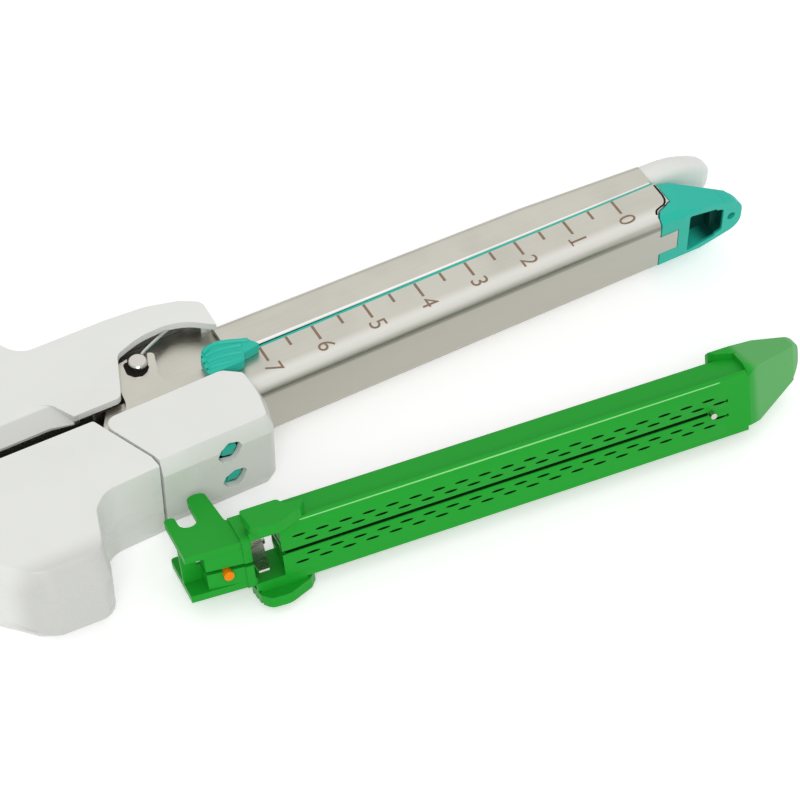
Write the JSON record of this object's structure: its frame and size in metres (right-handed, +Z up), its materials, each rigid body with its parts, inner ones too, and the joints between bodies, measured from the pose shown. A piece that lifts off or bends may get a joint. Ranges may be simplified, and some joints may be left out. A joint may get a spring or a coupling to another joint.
{
  "type": "linear cutter stapler",
  "caption": "Linear cutter stapler in white plastic and steel, lying on its side, teal reload loaded, spare green reload beside it",
  "frame": {"origin": "on the table under the front housing, on the housing's flat side", "axes": "+X along the jaws towards the tip, +Y across from the lever towards the anvil half, +Z up"},
  "size_m": [0.2362, 0.0783, 0.0235],
  "materials": {
    "steel": "satin, deep drawn",
    "bright_steel": "ground",
    "pin_steel": "turned",
    "staple_wire": "drawn wire",
    "white_plastic": "fine matt",
    "teal_plastic": "satin",
    "green_plastic": "satin",
    "orange_plastic": "satin"
  },
  "bodies": {
    "cartridge_half": {"cartridge_channel": "steel", "front_housing": "white_plastic", "lever_pivot_pin": "pin_steel", "rear_hinge_pin": "pin_steel", "cartridge_body": "teal_plastic", "cartridge_pan": "steel", "cartridge_staples": "staple_wire", "cartridge_drivers": "teal_plastic", "cartridge_gap_pin": "pin_steel", "cartridge_indicator_pin": "orange_plastic"},
    "anvil_half": {"anvil_channel": "steel", "anvil_plate": "bright_steel", "anvil_nose": "white_plastic", "upper_handle": "white_plastic", "latch_pin": "pin_steel", "latch_spring": "pin_steel"},
    "lever": {"locking_lever": "white_plastic", "hook_plate_upper": "bright_steel", "hook_plate_lower": "bright_steel", "lever_rivets": "pin_steel"},
    "firing_train": {"firing_knob": "white_plastic", "pusher_block": "white_plastic", "push_bars": "bright_steel", "knife": "bright_steel", "wedge_sled": "bright_steel"},
    "spare_reload": {"reload_body": "green_plastic", "reload_pan": "steel", "reload_staples": "staple_wire", "reload_drivers": "green_plastic", "reload_gap_pin": "pin_steel", "reload_indicator_pin": "orange_plastic", "reload_knife": "bright_steel", "reload_sled": "bright_steel"}
  },
  "joints": [
    {"name": "lever_open", "type": "hinge", "parent": "cartridge_half", "child": "lever", "pos_m": [-0.002, -0.002, 0.0088], "axis": [0, 0, 1], "range_deg": [0, 22]},
    {"name": "jaw_open", "type": "hinge", "parent": "cartridge_half", "child": "anvil_half", "pos_m": [-0.114, 0.0068, 0.0088], "axis": [0, 0, 1], "range_deg": [0, 8]},
    {"name": "firing", "type": "slide", "parent": "cartridge_half", "child": "firing_train", "axis": [1, 0, 0], "range_m": [0, 0.078]},
    {"name": "reload_lift", "type": "slide", "parent": "cartridge_half", "child": "spare_reload", "axis": [0, 0, 1], "range_m": [0, 0.06]}
  ],
  "couplings": [
    {"joint": "jaw_open", "follows": "lever_open", "ratio": 0.3636}
  ]
}
